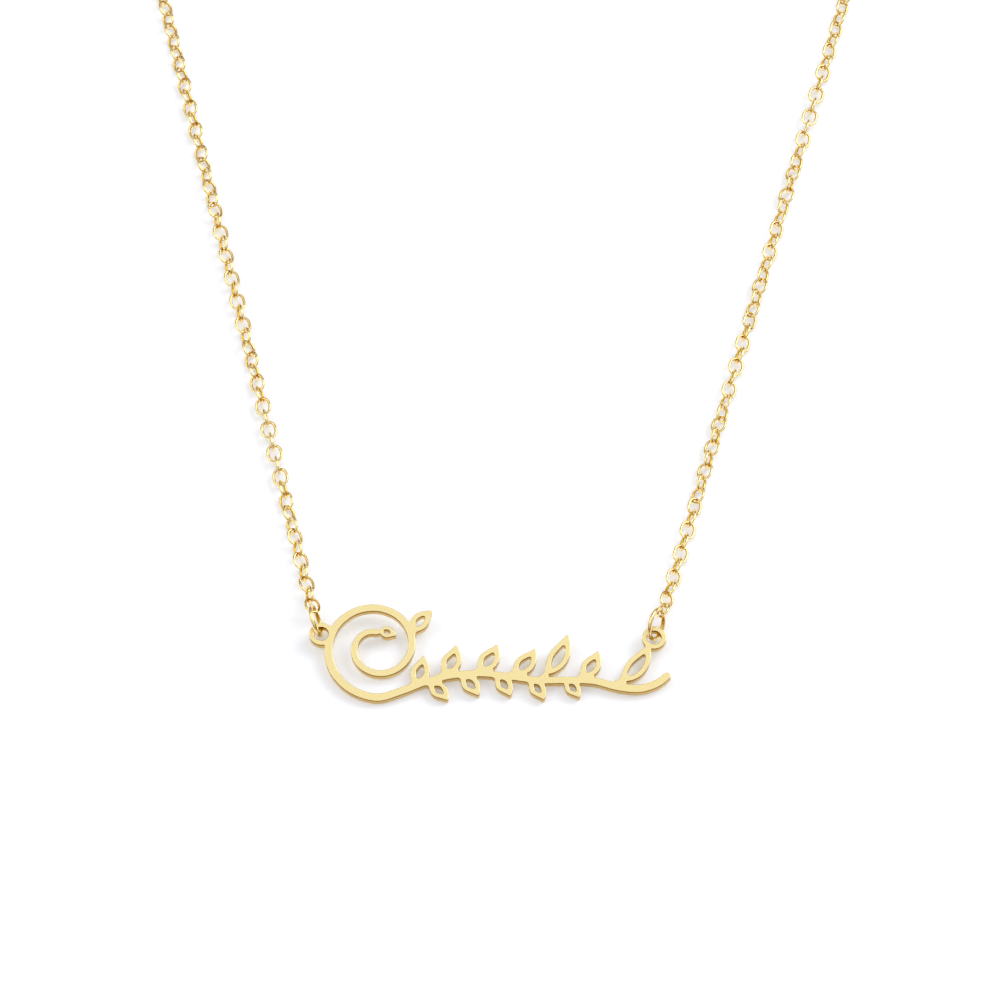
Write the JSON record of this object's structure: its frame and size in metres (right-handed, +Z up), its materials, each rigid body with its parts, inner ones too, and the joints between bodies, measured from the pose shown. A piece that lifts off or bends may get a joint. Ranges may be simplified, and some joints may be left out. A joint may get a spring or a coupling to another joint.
{
  "type": "nameplate necklace",
  "caption": "Fine necklace laid out in a loop: a thin pierced vine-scroll nameplate hung by jump rings on a cable chain that closes with a ring clasp.",
  "frame": {"origin": "middle of the outline at the height of the surface that the necklace lies on", "axes": "+Y from the nameplate to the clasp, +Z up from the surface, +X to the right as the nameplate is seen from the front"},
  "size_m": [0.0918, 0.1672, 0.0044],
  "materials": {
    "plate": "satin face with polished edges",
    "rings": "polished",
    "chain": "polished",
    "clasp": "polished"
  },
  "bodies": {
    "root": {"nameplate": "plate", "jump_ring_left": "rings", "jump_ring_right": "rings", "chain_left": "chain", "chain_right": "chain", "clasp": "clasp", "clasp_ring": "rings", "end_ring": "rings"}
  },
  "joints": []
}
